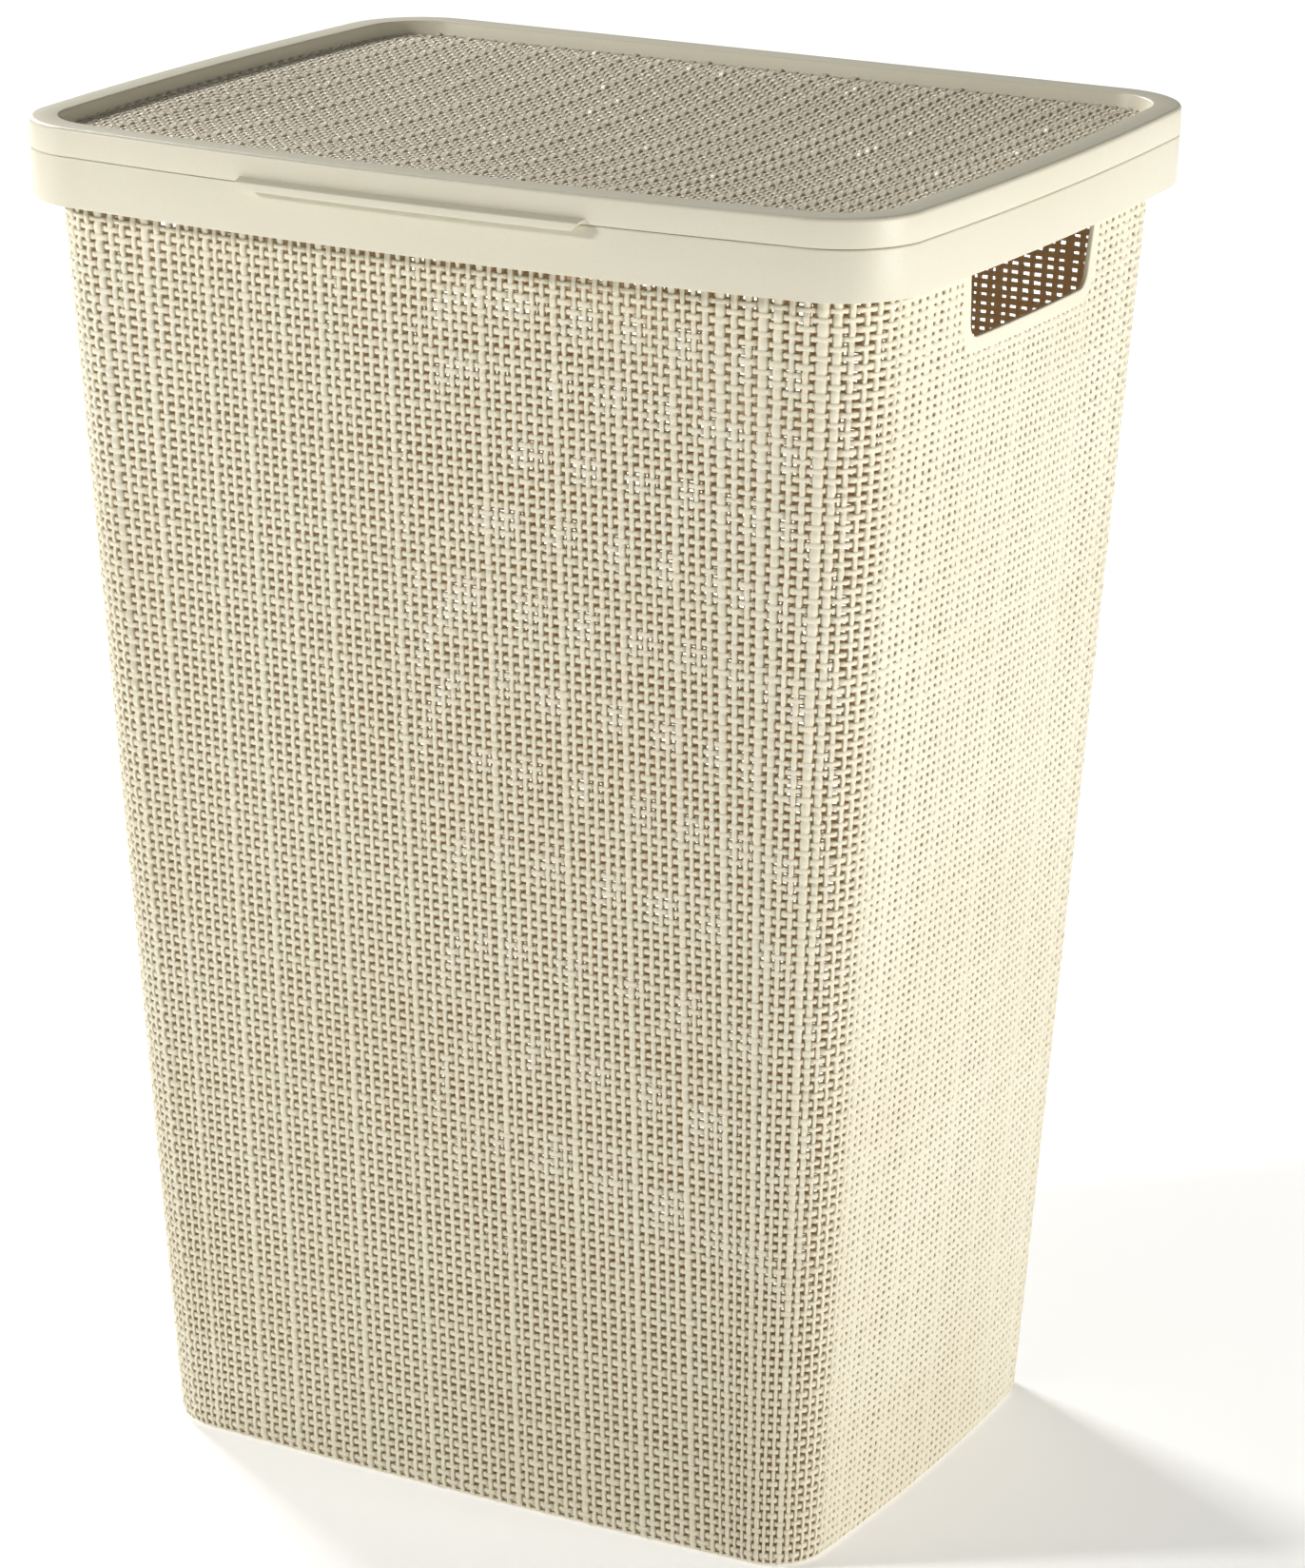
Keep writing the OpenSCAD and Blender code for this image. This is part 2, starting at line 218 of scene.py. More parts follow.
def cut(ob, tools, sharp=40):
    """The object less the tools, which are deleted."""
    for t in tools:
        m = ob.modifiers.new("cut", "BOOLEAN")
        m.operation, m.solver, m.object = "DIFFERENCE", "EXACT", t
    applied(ob)
    for t in tools:
        bpy.data.objects.remove(t)
    ob.data.shade_smooth()
    ob.data.set_sharp_from_angle(angle=math.radians(sharp))
    return ob


def rod(x, width, radius, steps=48):
    """Rod along X on the hinge axis, used to cut notches."""
    a = np.linspace(0, 2 * math.pi, steps, endpoint=False)
    ends = [np.stack([np.full(steps, x + s * width / 2), hinge_y + radius * np.cos(a),
                      hinge_z + radius * np.sin(a)], -1) for s in (-1, 1)]
    i = np.arange(steps)
    j = (i + 1) % steps
    side = np.stack([i, j, steps + j, steps + i], -1)
    return add_mesh("cutter", np.concatenate(ends), [side[:, ::-1], i[None], (steps + i[::-1])[None]])


# ---- Weave --------------------------------------------------------------------------------
LEAST_GAP = 0.9                                     # between two strands, at the narrowest
WIDER_A, WIDER_B = 1.2, 1.15                        # times the median width that counts as wide
UNEVEN = (-0.10, 0.06)                              # range of the strands' own heights, mm
CROSSING_UNEVEN = 0.06                              # and of each crossing's, up or down


def strands(length, pitch, width, wide, every, jitter, broad=None):
    """Centres and widths of strands laid along a length. width and wide are ranges of widths,
    and every is the range of the count from one wide strand to the next. jitter shifts a strand
    from its even place, and broad lists (place, width) of strands given one by one."""
    count = int(round(length / pitch / 2)) * 2
    w = rng.uniform(*width, count)
    k = int(rng.integers(1, every[1]))
    while k < count:
        w[k] = rng.uniform(*wide)
        k += int(rng.integers(every[0], every[1] + 1))
    centre = (np.arange(count) + 0.5) * length / count + rng.uniform(-jitter, jitter, count)
    for at, size in broad or ():
        w[np.argmin(abs(centre - at))] = size
    tight = np.maximum(0, (w[:-1] + w[1:]) / 2 + LEAST_GAP - np.diff(centre))
    w[:-1] -= tight
    w[1:] -= tight
    return centre, w


def relief(wa, wb, crown=0.12, dive=-0.9, corner=-1.1, bead=-0.32, row_dive=-0.6, lift=0.14,
           lift_b=0.14, sink_b=0.0):
    """Heights (strands a, 6 lines, strands b, 4 lines). Each strand has lines at its edges and
    shoulders, and the gap after a strand a has two more, where strand b rises into a bead.
    crown is how far a strand's edges lie under its top; dive and row_dive are where strands a
    and b pass under; corner and bead are the crossing's corners and the beads between strands
    a; lift and lift_b raise the wider strands; sink_b lowers all of strands b."""
    near_corner, half_corner = 0.8 * corner, 0.45 * corner
    na, nb = len(wa), len(wb)
    a_over = (np.arange(na)[:, None] + np.arange(nb)[None]) % 2 == 0
    wide_a, wide_b = wa > np.median(wa) * WIDER_A, wb > np.median(wb) * WIDER_B
    top_a = rng.uniform(*UNEVEN, na)[:, None] + lift * wide_a[:, None]
    top_b = rng.uniform(*UNEVEN, nb)[None] + lift_b * wide_b[None] - sink_b
    top = np.where(a_over, top_a, top_b)
    top = top + rng.uniform(-CROSSING_UNEVEN, CROSSING_UNEVEN, (na, nb))
    between = top_b - 0.1                               # strand b in the gap between strands a
    h = np.zeros((na, 6, nb, 4))
    for q in (0, 3):
        h[:, 0, :, q] = h[:, 3, :, q] = corner
        h[:, 1, :, q] = h[:, 2, :, q] = np.where(a_over, top - crown, row_dive)
        h[:, 4, :, q] = np.where(a_over, near_corner, half_corner)
        h[:, 5, :, q] = np.where(a_over, half_corner, near_corner)
    for q in (1, 2):
        h[:, 0, :, q] = h[:, 3, :, q] = np.where(a_over, dive, top - crown)
        h[:, 1, :, q] = h[:, 2, :, q] = top
        h[:, 4, :, q] = np.where(a_over, bead, between)
        h[:, 5, :, q] = np.where(a_over, between, bead)
    return h


GAP_SHADE_FROM, GAP_SHADE_OVER = -0.8, 0.45                  # heights, mm, over which a gap takes its painted shade


class Weave:
    """Perforated relief of strands a and b, with centres ca and cb and widths wa and wb.
    place(A, B, h) gives points in mm for positions along the two directions and heights; every
    column of A and B is one line of a strand b. The regions are counted along both directions:
    even ones are strands, odd ones the gaps after them. thick is the depth of the inner face,
    loop the length round where the strands a close on themselves, and draft how much narrower
    a strand is on the inner face, on each edge."""

    def __init__(self, place, ca, wa, cb, wb, heights, thick, loop=0, draft=0.2, wobble=0.07):
        self.na, self.nb = na, nb = len(ca), len(cb)
        spread = np.array([-0.5, -0.31, 0.31, 0.5])     # a strand's edges and shoulders
        # Each crossing is shifted and widened a little by itself.
        shape = (na, 1, nb, 1)
        A = (ca[:, None] + wa[:, None] * spread)[:, :, None, None] + rng.normal(0, wobble, shape)
        A = A + 2 * spread[None, :, None, None] * rng.normal(0, wobble, shape)
        A = A + np.zeros((na, 4, nb, 4))
        B = (cb[:, None] + wb[:, None] * spread)[None, None] + rng.normal(0, 0.7 * wobble, shape)
        B = B + 2 * spread * rng.normal(0, 0.7 * wobble, shape) + np.zeros((na, 4, nb, 4))
        B[:, :, 0, 0] = cb[0] - wb[0] / 2
        B[:, :, -1, 3] = cb[-1] + wb[-1] / 2
        # Outer face: four lines on each strand a and two more in the gap after it.
        ahead = np.roll(A[:, :1], -1, 0)
        ahead[-1] = ahead[-1] + loop if loop else A[-1, 3:] + 1
        beside = np.roll(B[:, :1], -1, 0)
        gap = [(A[:, 3:] + (ahead - A[:, 3:]) * f, B[:, 3:] + (beside - B[:, 3:]) * f)
               for f in (0.33, 0.67)]
        full_a = np.concatenate([A] + [g[0] for g in gap], 1).reshape(6 * na, 4 * nb)
        full_b = np.concatenate([B] + [g[1] for g in gap], 1).reshape(6 * na, 4 * nb)
        # Inner face: flat, with only the strands' edges.
        draft = np.broadcast_to(draft, na)[:, None, None, None] * np.ones((1, 2, nb, 2))
        inner_a = A[:, [0, 3]][..., [0, 3]] + draft * np.array([1, -1])[None, :, None, None]
        inner_b = B[:, [0, 3]][..., [0, 3]] + draft * np.array([1, -1])
        inner_b[:, :, 0, 0] = B[0, 0, 0, 0]
        inner_b[:, :, -1, 1] = B[0, 0, -1, 3]
        inner_a, inner_b = inner_a.reshape(2 * na, 2 * nb), inner_b.reshape(2 * na, 2 * nb)
        h = heights.reshape(6 * na, 4 * nb)
        outer = place(full_a, full_b, h)
        inner = place(inner_a, inner_b, np.full(inner_a.shape, -float(thick)))
        self.points = np.concatenate([outer.reshape(-1, 3), inner.reshape(-1, 3)])
        # For the painted shade: 0 on the strands, 1 down in the gaps, 2 on the inner face.
        self.depth = np.concatenate([np.clip((GAP_SHADE_FROM - h.ravel()) / GAP_SHADE_OVER, 0, 1),
                                     np.full(inner_a.size, 2.0)])
        # A region is solid unless it is a gap both ways, or past the last strand.
        self.solid = np.ones((2 * na, 2 * nb), bool)
        self.solid[1::2, 1::2] = False
        self.solid[:, -1] = False
        if not loop:
            self.solid[-1] = False
        next_a = np.append(ca[1:] - wa[1:] / 2, ca[0] - wa[0] / 2 + loop)
        next_b = np.append(cb[1:] - wb[1:] / 2, cb[-1] + wb[-1] / 2)
        mid_a = np.stack([ca, (ca + wa / 2 + next_a) / 2], -1)
        mid_b = np.stack([cb, (cb + wb / 2 + next_b) / 2], -1)
        self.middle = place(*np.meshgrid(mid_a.ravel(), mid_b.ravel(), indexing="ij"),
                            np.zeros((2 * na, 2 * nb)))

    def outer(self, i, j):
        """Index of the outer face's point on line i of the strands a and line j of the b."""
        return (i % (6 * self.na)) * (4 * self.nb) + j

    def inner(self, i, j):
        """The same for the inner face, with two lines to a strand."""
        return 24 * self.na * self.nb + (i % (2 * self.na)) * (2 * self.nb) + j

    def piece(self, name, a0, a1, b0, b1, sharp=60):
        """Closed mesh of the regions a0 <= i < a1, b0 <= j < b1. Even regions are strands."""
        I, J = np.meshgrid(np.arange(a0, a1), np.arange(b0, b1), indexing="ij")
        solid = unpinched(self.solid[I % (2 * self.na), J])
        pad = np.pad(solid, 1)
        row_strand = J % 2 == 0
        first_a = 6 * (I // 2) + np.where(I % 2 == 0, 0, 3)
        first_b = 4 * (J // 2) + np.where(row_strand, 0, 3)
        quads, hexes = [], []
        for strand, steps in ((True, 3), (False, 1)):
            m = solid & (row_strand == strand)          # outer face
            x, y = first_a[m], first_b[m]
            for p in range(3):
                for q in range(steps):
                    loop = ((p, q), (p + 1, q), (p + 1, q + 1), (p, q + 1))
                    quads.append(np.stack([self.outer(x + i, y + j) for i, j in loop], -1))
        x, y = I[solid], J[solid]                       # inner face
        quads.append(np.stack([self.inner(x, y), self.inner(x, y + 1), self.inner(x + 1, y + 1),
                               self.inner(x + 1, y)], -1))
        for di, dj in ((-1, 0), (1, 0), (0, -1), (0, 1)):   # walls round the holes and edges
            near = pad[1 + di:pad.shape[0] - 1 + di, 1 + dj:pad.shape[1] - 1 + dj]
            edge = solid & ~near
            if di:
                far = int(di > 0)
                for strand, steps in ((True, 3), (False, 1)):
                    m = edge & (row_strand == strand)
                    x, y, X, Y = first_a[m] + 3 * far, first_b[m], I[m] + far, J[m]
                    line = [self.outer(x, y + k) for k in range(steps + 1)]
                    wall = np.stack(line + [self.inner(X, Y + 1), self.inner(X, Y)], -1)
                    (hexes if strand else quads).append(wall[:, ::-1] if di > 0 else wall)
            else:
                far = dj > 0
                x, X, Y = first_a[edge], I[edge], J[edge] + int(far)
                y = first_b[edge] + far * np.where(row_strand[edge], 3, 1)
                line = [self.outer(x + k, y) for k in range(4)]
                wall = np.stack(line + [self.inner(X + 1, Y), self.inner(X, Y)], -1)
                hexes.append(wall if far else wall[:, ::-1])
        faces = [np.concatenate(quads), np.concatenate(hexes)]
        return add_mesh(name, self.points, faces, sharp, self.depth)


def unpinched(solid):
    """The mask without cells that touch others only at a corner, where the mesh would pinch."""
    s = solid.copy()
    while True:
        a, b, c, d = s[:-1, :-1], s[1:, :-1], s[:-1, 1:], s[1:, 1:]
        falling, rising = a & d & ~b & ~c, b & c & ~a & ~d
        if not (falling.any() or rising.any()):
            return s
        a[falling] = False
        b[rising] = False


def woven(weave, name, node, body, regions):
    """One piece of a weave, standing for a CAD node."""
    ob = weave.piece(name, *regions)
    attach(ob, body)
    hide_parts(node)
    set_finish(ob, "woven_polypropylene")
    return ob


# ---- Walls ---------------------------------------------------------------------------------
# Strands stand upright and evenly spaced across the middle of each face, and fan out into the
# corners. laid is a strand's place at its even spacing; half the way round is LAID_HALF.
FRONT_EVEN, SIDE_EVEN = 130.0, 72.0                 # even spacing, from a face's middle
FAN_FRONT, FAN_SIDE = 52.9, 54.3                    # the rest of the way to the corner's middle
CORNER_SHIFT = 2.5                                  # the corner strand's foot is this far sideward
LAID = np.cumsum([0, FRONT_EVEN, FAN_FRONT, FAN_SIDE, SIDE_EVEN, SIDE_EVEN, FAN_SIDE, FAN_FRONT,
                  FRONT_EVEN])
LAID_HALF = LAID[-1]
FOOT_ROUND = 5.0                                    # rounding of the wall's lower edge


def way_round(laid, level, z):
    """u of strands laid at their even spacing, on the wall's outline at height z."""
    ends = section_ends(level)
    side_middle = ends[2] - corner_shape(level)[3] + level[2] * math.sin(corner_shape(level)[1])
    shift = CORNER_SHIFT * (1 - z / collar_z)
    places = [0, FRONT_EVEN, (ends[1] + ends[2]) / 2 + shift, side_middle - SIDE_EVEN, side_middle,
              side_middle + SIDE_EVEN, (ends[3] + ends[4]) / 2 - shift, ends[5] - FRONT_EVEN, ends[5]]
    laid = laid % (2 * LAID_HALF)
    mirrored = laid > LAID_HALF
    c = np.interp(np.where(mirrored, 2 * LAID_HALF - laid, laid), LAID, places)
    u = np.interp(c, ends, np.arange(6))
    return np.where(mirrored, 10 - u, u)


def turn_in(z):
    """How far the wall's foot is rounded inwards."""
    below = max(0.0, FOOT_ROUND - z)
    return FOOT_ROUND - math.sqrt(FOOT_ROUND ** 2 - below ** 2)


def place_wall(A, B, h):
    """Strands a stand upright at A along the laid spacing; B is the height of the rows."""
    out = np.zeros((*A.shape, 3))
    out[..., 2] = B
    for j in range(A.shape[1]):
        z = float(np.median(B[:, j]))
        level = wall_level(z)
        p, n = outline(level, way_round(A[:, j], level, z))
        out[:, j, :2] = p + n * (h[:, j, None] - turn_in(z))
    return out


BROAD_STRANDS = [(171.2, 4.6), (151.3, 3.9)]        # broad strands by the front right corner
SIDE_FADE = 0.6                                     # part of the relief's depth that the sides lose
FADE_FROM, FADE_OVER = 8, 24                        # where that begins past a corner, and its length
UNDER_COLLAR = 0.3                                  # how far the top row reaches under the collar
BACK_DRAFT, DRAFT = 0.3, -0.12                      # a strand's edges draw in so far inwards
around_c, around_w = strands(2 * LAID_HALF, 4.97, (2.4, 2.75), (3.5, 4.1), (3, 7), 0.25,
                             BROAD_STRANDS)
row_c, row_w = strands(collar_z, 4.07, (2.35, 2.65), (2.95, 3.2), (3, 8), 0.13)
row_c[0], row_c[-1] = row_w[0] / 2, collar_z + UNDER_COLLAR - row_w[-1] / 2
# The relief is shallower on the two sides, and fades in from their corners.
from_corner = LAID_HALF - abs(around_c - LAID_HALF)
from_corner = np.minimum(from_corner - LAID[2], LAID[6] - from_corner)
side_scale = 1 - SIDE_FADE * np.clip((from_corner - FADE_FROM) / FADE_OVER, 0, 1)
wall_relief = relief(around_w, row_w, dive=-1.0, corner=-1.25, lift=0.3, lift_b=0.3)
wall_relief *= side_scale[:, None, None, None]
at_back = abs(around_c - LAID_HALF) < LAID_HALF - LAID[6]
walls = Weave(place_wall, around_c, around_w, row_c, row_w, wall_relief, wall_t,
              loop=2 * LAID_HALF, draft=np.where(at_back, BACK_DRAFT, DRAFT))


def slot_half(z):
    """Half the slot's width at height z."""
    return SLOT_W / 2 + (z - SLOT_LOW) * math.tan(math.radians(SLOT_FLARE))


SLOT_GROW = 3.6                                     # the weave ends under the slot's surround
SIDE_X = 120.0                                      # further out than this, a wall is a side
mid = walls.middle
half_slot = slot_half(mid[..., 2]) + SLOT_GROW / math.cos(math.radians(SLOT_FLARE))
from_middle = abs(mid[..., 1] - SLOT_Y)
above_low = mid[..., 2] - (SLOT_LOW - SLOT_GROW)
slot_round = SLOT_R + SLOT_GROW
to_round = from_middle - (half_slot - slot_round)   # past the start of the lower corner's arc
on_side = abs(mid[..., 0]) > SIDE_X
in_slot = on_side & (from_middle < half_slot) & (above_low > 0)
past_arc = np.hypot(to_round, slot_round - above_low) > slot_round
in_slot &= ~((above_low < slot_round) & (to_round > 0) & past_arc)
walls.solid &= ~in_slot

# Parted at the corner lines and into bands, each piece starting at a strand.
corners = [LAID[2], LAID[6], 2 * LAID_HALF - LAID[6], 2 * LAID_HALF - LAID[2]]
starts = [int(np.searchsorted(around_c, c)) for c in corners]
for k, side in enumerate(("right", "back", "left", "front")):
    s0, s1 = starts[k], starts[(k + 1) % 4]
    s1 += len(around_c) if s1 < s0 else 0
    bands = 4 if side in ("front", "back") else 3
    edges = [2 * round(b * len(row_c) / bands) for b in range(bands + 1)]
    edges[-1] -= 1
    for b in range(bands):
        woven(walls, f"weave_{side}_{b + 1}", f"wall_{side}", "basket",
              (2 * s0, 2 * s1, edges[b], edges[b + 1]))


def inside(level, x, y):
    """True where a point is inside an outline, by angle round the middle."""
    p = outline(level, np.linspace(0, 10, 2001)[:-1])[0]
    ang = np.arctan2(p[:, 1], p[:, 0])
    order = np.argsort(ang)
    rad = np.hypot(*p.T)[order]
    return np.hypot(x, y) < np.interp(np.arctan2(y, x), ang[order], rad, period=2 * math.pi)


# ---- Lid panel -------------------------------------------------------------------------------
DISH = panel_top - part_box("lid_panel")[0][2] * 1000 - PANEL_T
LEVEL_EDGE = 8.0                                    # level part of the panel inside its bowed edge
UNDER_RIM = 12.7                                    # the panel's weave ends this far in, in the rim
dish_w = lid_w - 2 * (RECESS + LID[4] + LEVEL_EDGE)
dish_d = lid_d - 2 * (RECESS + LID[3] + LEVEL_EDGE)


def place_panel(A, B, h):
    """The lid's panel is level at its edges and dished towards its middle."""
    x, y = A - lid_w / 2, B - lid_d / 2
    fx = np.clip(abs(2 * x / dish_w), 0, 1)
    fy = np.clip(abs(2 * y / dish_d), 0, 1)
    return np.stack([x, y, panel_top - DISH * (1 - fx ** 3) * (1 - fy ** 2) + h], -1)


panel_a, panel_wa = strands(lid_w, 3.9, (2.1, 2.3), (2.8, 3.0), (3, 6), 0.12)
panel_b, panel_wb = strands(lid_d, 4.3, (2.4, 2.8), (3.0, 3.2), (3, 7), 0.15)
panel = Weave(place_panel, panel_a, panel_wa, panel_b, panel_wb,
              relief(panel_wa, panel_wb, crown=0.25, dive=-1.2, corner=-1.5, bead=-0.5,
                     row_dive=-0.9, lift=0.7, lift_b=0.0, sink_b=0.1), PANEL_T - 0.3)
panel.solid &= inside(inset(LID, UNDER_RIM), panel.middle[..., 0], panel.middle[..., 1])
thirds = [2 * round(k * len(panel_a) / 3) for k in range(4)]
for k, part in enumerate(("left", "middle", "right")):
    woven(panel, f"weave_lid_{part}", "lid_panel", "lid",
          (thirds[k], thirds[k + 1], 0, 2 * len(panel_b)))

# ---- Basket floor --------------------------------------------------------------------------------
floor_level = inset(wall_level(floor_lo[2]), wall_t)


def place_floor(A, B, h):
    """The floor is flat, and no strand stands higher than the CAD's floor."""
    return np.stack([A - FOOT[0] / 2, B - FOOT[1] / 2, floor_hi[2] + np.minimum(h, 0)], -1)


base_a, base_wa = strands(FOOT[0], 6.6, (3.0, 3.3), (3.9, 4.3), (3, 6), 0.1)
base_b, base_wb = strands(FOOT[1], 6.6, (3.1, 3.4), (4.0, 4.3), (3, 6), 0.1)
base_relief = 0.8 * relief(base_wa, base_wb, crown=0.1, dive=-0.8, corner=-1.0, bead=-0.4,
                           row_dive=-0.6, lift=0.1)
base = Weave(place_floor, base_a, base_wa, base_b, base_wb, base_relief,
             floor_hi[2] - floor_lo[2] - 0.1)
base.solid &= inside(inset(floor_level, 3.0), base.middle[..., 0], base.middle[..., 1])
woven(base, "weave_floor", "basket_floor", "basket", (0, 2 * len(base_a), 0, 2 * len(base_b)))

# ---- Collar, lid frame, rib, lip, slot frames ------------------------------------------------
STEPS = (24, 22, 20, 22, 24, 24, 22, 20, 22, 24)    # along each section of an outline
around = np.concatenate([np.linspace(k, k + 1, n, endpoint=False) for k, n in enumerate(STEPS)])
ON_WALL = 100.0                                     # added to an inset measured from the wall


def collar_level(a, z):
    """a is an inset from the lid's edge, ON_WALL + a one from the wall's surface."""
    if a >= ON_WALL:
        return inset(wall_level(z), a - ON_WALL)
    return inset(LID, a)


SKIRT_TOP, SKIRT_LOW = 0.3, 1.0                     # the collar's insets from the lid's edge
collar_inner = ON_WALL + wall_t
# The first and last corner only steer the rounding of the two between, and are dropped.
collar_profile = list(round_profile([(3.5, collar_z), (SKIRT_LOW, collar_z), (SKIRT_TOP, part_z),
                                     (8.0, part_z)], [0, 0.7, 0.9, 0])[1:-1])
collar_profile += [(collar_inner + 0.5, part_z), (collar_inner + 0.15, part_z - 0.15),
                   (collar_inner, part_z - 0.5), (collar_inner, collar_z), (ON_WALL, collar_z),
                   (ON_WALL, part_z - collar_t), (SKIRT_TOP + collar_t, part_z - collar_t),
                   (SKIRT_LOW + collar_t, collar_z + 0.2), (SKIRT_LOW + collar_t - 0.2, collar_z)]
EYE_W, SIDE_PLAY, EAR_W = 18.0, 0.4, 7.0            # hinge: the eye, the gap beside it, an ear
NOTCH_R = 4.4                                       # notches for the hinge in collar and rim
collar = ring("collar", collar_level, collar_profile[::-1], around)
cut(collar, [rod(s * hinge_x, EYE_W + 2 * SIDE_PLAY, NOTCH_R) for s in (-1, 1)])
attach(collar, "basket")
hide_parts("top_collar")
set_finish(collar, "smooth_polypropylene")

RIM_FLAT, RIM_FOLD = 13.1, 11.2                     # insets where the rim's top ends, and its fold
fold_z = panel_z - 0.4                              # foot of the fold, just under the panel
rim_profile = round_profile(
    [(0, skirt_z), (0, total_h), (RIM_FLAT, total_h), (RECESS, panel_top - 0.5), (RECESS, fold_z),
     (RIM_FOLD, fold_z), (RIM_FOLD, total_h - skirt_t), (skirt_t, total_h - skirt_t),
     (skirt_t, skirt_z)], [0.35, 2.0, 1.1, 0.3, 0.3, 0.3, 0.5, 0.5, 0.35])
rim = ring("lid_rim", lambda a, z: inset(LID, a), rim_profile[::-1], around)
ear_x = EYE_W / 2 + SIDE_PLAY + EAR_W / 2           # from the hinge's middle to an ear's
cut(rim, [rod(s * hinge_x + t * ear_x, EAR_W + 2 * SIDE_PLAY, NOTCH_R)
          for s in (-1, 1) for t in (-1, 1)])
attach(rim, "lid")
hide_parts("lid_frame")
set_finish(rim, "smooth_polypropylene")

RIB_T, RIB_PLAY = 1.8, 0.9                          # thickness, and gap to the wall's inside
mouth = inset(wall_level(rib_lo[2]), wall_t + RIB_PLAY)
rib_profile = round_profile([(0, rib_lo[2]), (0, panel_z), (RIB_T, panel_z), (RIB_T, rib_lo[2])],
                            [0.6, 0, 0, 0.6])
rib = ring("rib", lambda a, z: inset(mouth, a), rib_profile[::-1], around)
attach(rib, "lid")
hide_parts("locating_rib")
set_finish(rib, "smooth_polypropylene")


def finger_lip():
    """Ledge with a turned-down edge along the front of the lid, its ends cut back as it drops."""
    corners = [(0, 2.4), (-1.4, 1.9), (-LIP_OUT + 0.7, 1.5), (-LIP_OUT, 0.9), (-LIP_OUT, -2),
               (-LIP_OUT + 0.35, -2.4), (-LIP_OUT + 1.2, -2.4), (-LIP_OUT + 1.5, -2),
               (-LIP_OUT + 1.5, -0.1), (0.4, 0.0), (1.2, 0.6), (1.2, 2.4)]
    section = round_profile(corners, [0, 0.8, 0.35, 0.35, 0.25, 0.2, 0.2, 0.2, 0.5, 0, 0, 0], 3)
    n, m = 97, len(section)
    along = np.linspace(-1, 1, n)
    pts = np.zeros((n, m, 3))
    for k, (out, z) in enumerate(section):
        x = along * (LIP_W / 2 - (corners[0][1] - z))
        pts[:, k] = np.stack([x, -lid_d / 2 + LID[3] * (2 * x / lid_w) ** 2 + out,
                              np.full(n, skirt_z + z)], -1)
    i, k = np.meshgrid(np.arange(n - 1), np.arange(m), indexing="ij")
    k2 = (k + 1) % m
    quads = np.stack([i * m + k, i * m + k2, (i + 1) * m + k2, (i + 1) * m + k], -1).reshape(-1, 4)
    caps = np.arange(m)
    faces = [quads, caps[::-1][None], ((n - 1) * m + caps)[None]]
    return add_mesh("finger_lip", pts.reshape(-1, 3), faces, 35)


lip = finger_lip()
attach(lip, "lid")
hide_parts("lift_lip")
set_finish(lip, "smooth_polypropylene")


def slot_loop(g):
    """Slot outline [y, z] grown by g, evenly filled in along its straight parts."""
    low, high = SLOT_LOW - g, SLOT_LOW + SLOT_H + min(g, 3.5)
    lean = math.tan(math.radians(SLOT_FLARE))
    half_low = SLOT_W / 2 + g / math.cos(math.radians(SLOT_FLARE)) - g * lean
    half_high = half_low + (high - low) * lean
    corners = [(SLOT_Y - half_low, low), (SLOT_Y + half_low, low),
               (SLOT_Y + half_high, high), (SLOT_Y - half_high, high)]
    arcs = round_profile(corners, [SLOT_R + g, SLOT_R + g, 2, 2], 8).reshape(4, 9, 2)
    out = []
    for k, between in enumerate((14, 5, 14, 5)):
        out += list(arcs[k])
        a, b = arcs[k][-1], arcs[(k + 1) % 4][0]
        out += [a + (b - a) * t for t in np.linspace(0, 1, between + 2)[1:-1]]
    return np.array(out)


def slot_frame(name, sx):
    """Smooth band round a slot, set on the wall's surface and lying across its thickness."""
    section = round_profile([(0, -2.5), (0, 0.1), (SLOT_BAND, 0.1), (SLOT_BAND, -2.5)],
                            [0.5, 0.7, 0.6, 0.3], 4)
    rings = []
    for grown, h in section:
        y, z = slot_loop(grown).T
        level = FOOT + (WALL_TOP - FOOT) * (z / collar_z)[:, None]
        w, d, bow = level[:, 0], level[:, 1], level[:, 4]
        x = w / 2 - bow * (2 * y / d) ** 2
        n = np.stack([np.ones(len(x)), 8 * bow * y / d ** 2], -1)
        n /= np.hypot(*n.T)[:, None]
        rings.append(np.stack([sx * (x + n[:, 0] * h), y + n[:, 1] * h, z], -1))
    pts = np.array(rings)
    m, n = pts.shape[:2]
    i, j = np.meshgrid(np.arange(m), np.arange(n), indexing="ij")
    i2, j2 = (i + 1) % m, (j + 1) % n
    quads = np.stack([i * n + j, i * n + j2, i2 * n + j2, i2 * n + j], -1).reshape(-1, 4)
    if sx > 0:
        quads = quads[:, ::-1]
    return add_mesh(name, pts.reshape(-1, 3), [quads], 40)


for name, sx in (("right", 1), ("left", -1)):
    ob = slot_frame(f"slot_surround_{name}", sx)
    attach(ob, "basket")
    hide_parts(f"slot_frame_{name}")
    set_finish(ob, "smooth_polypropylene")

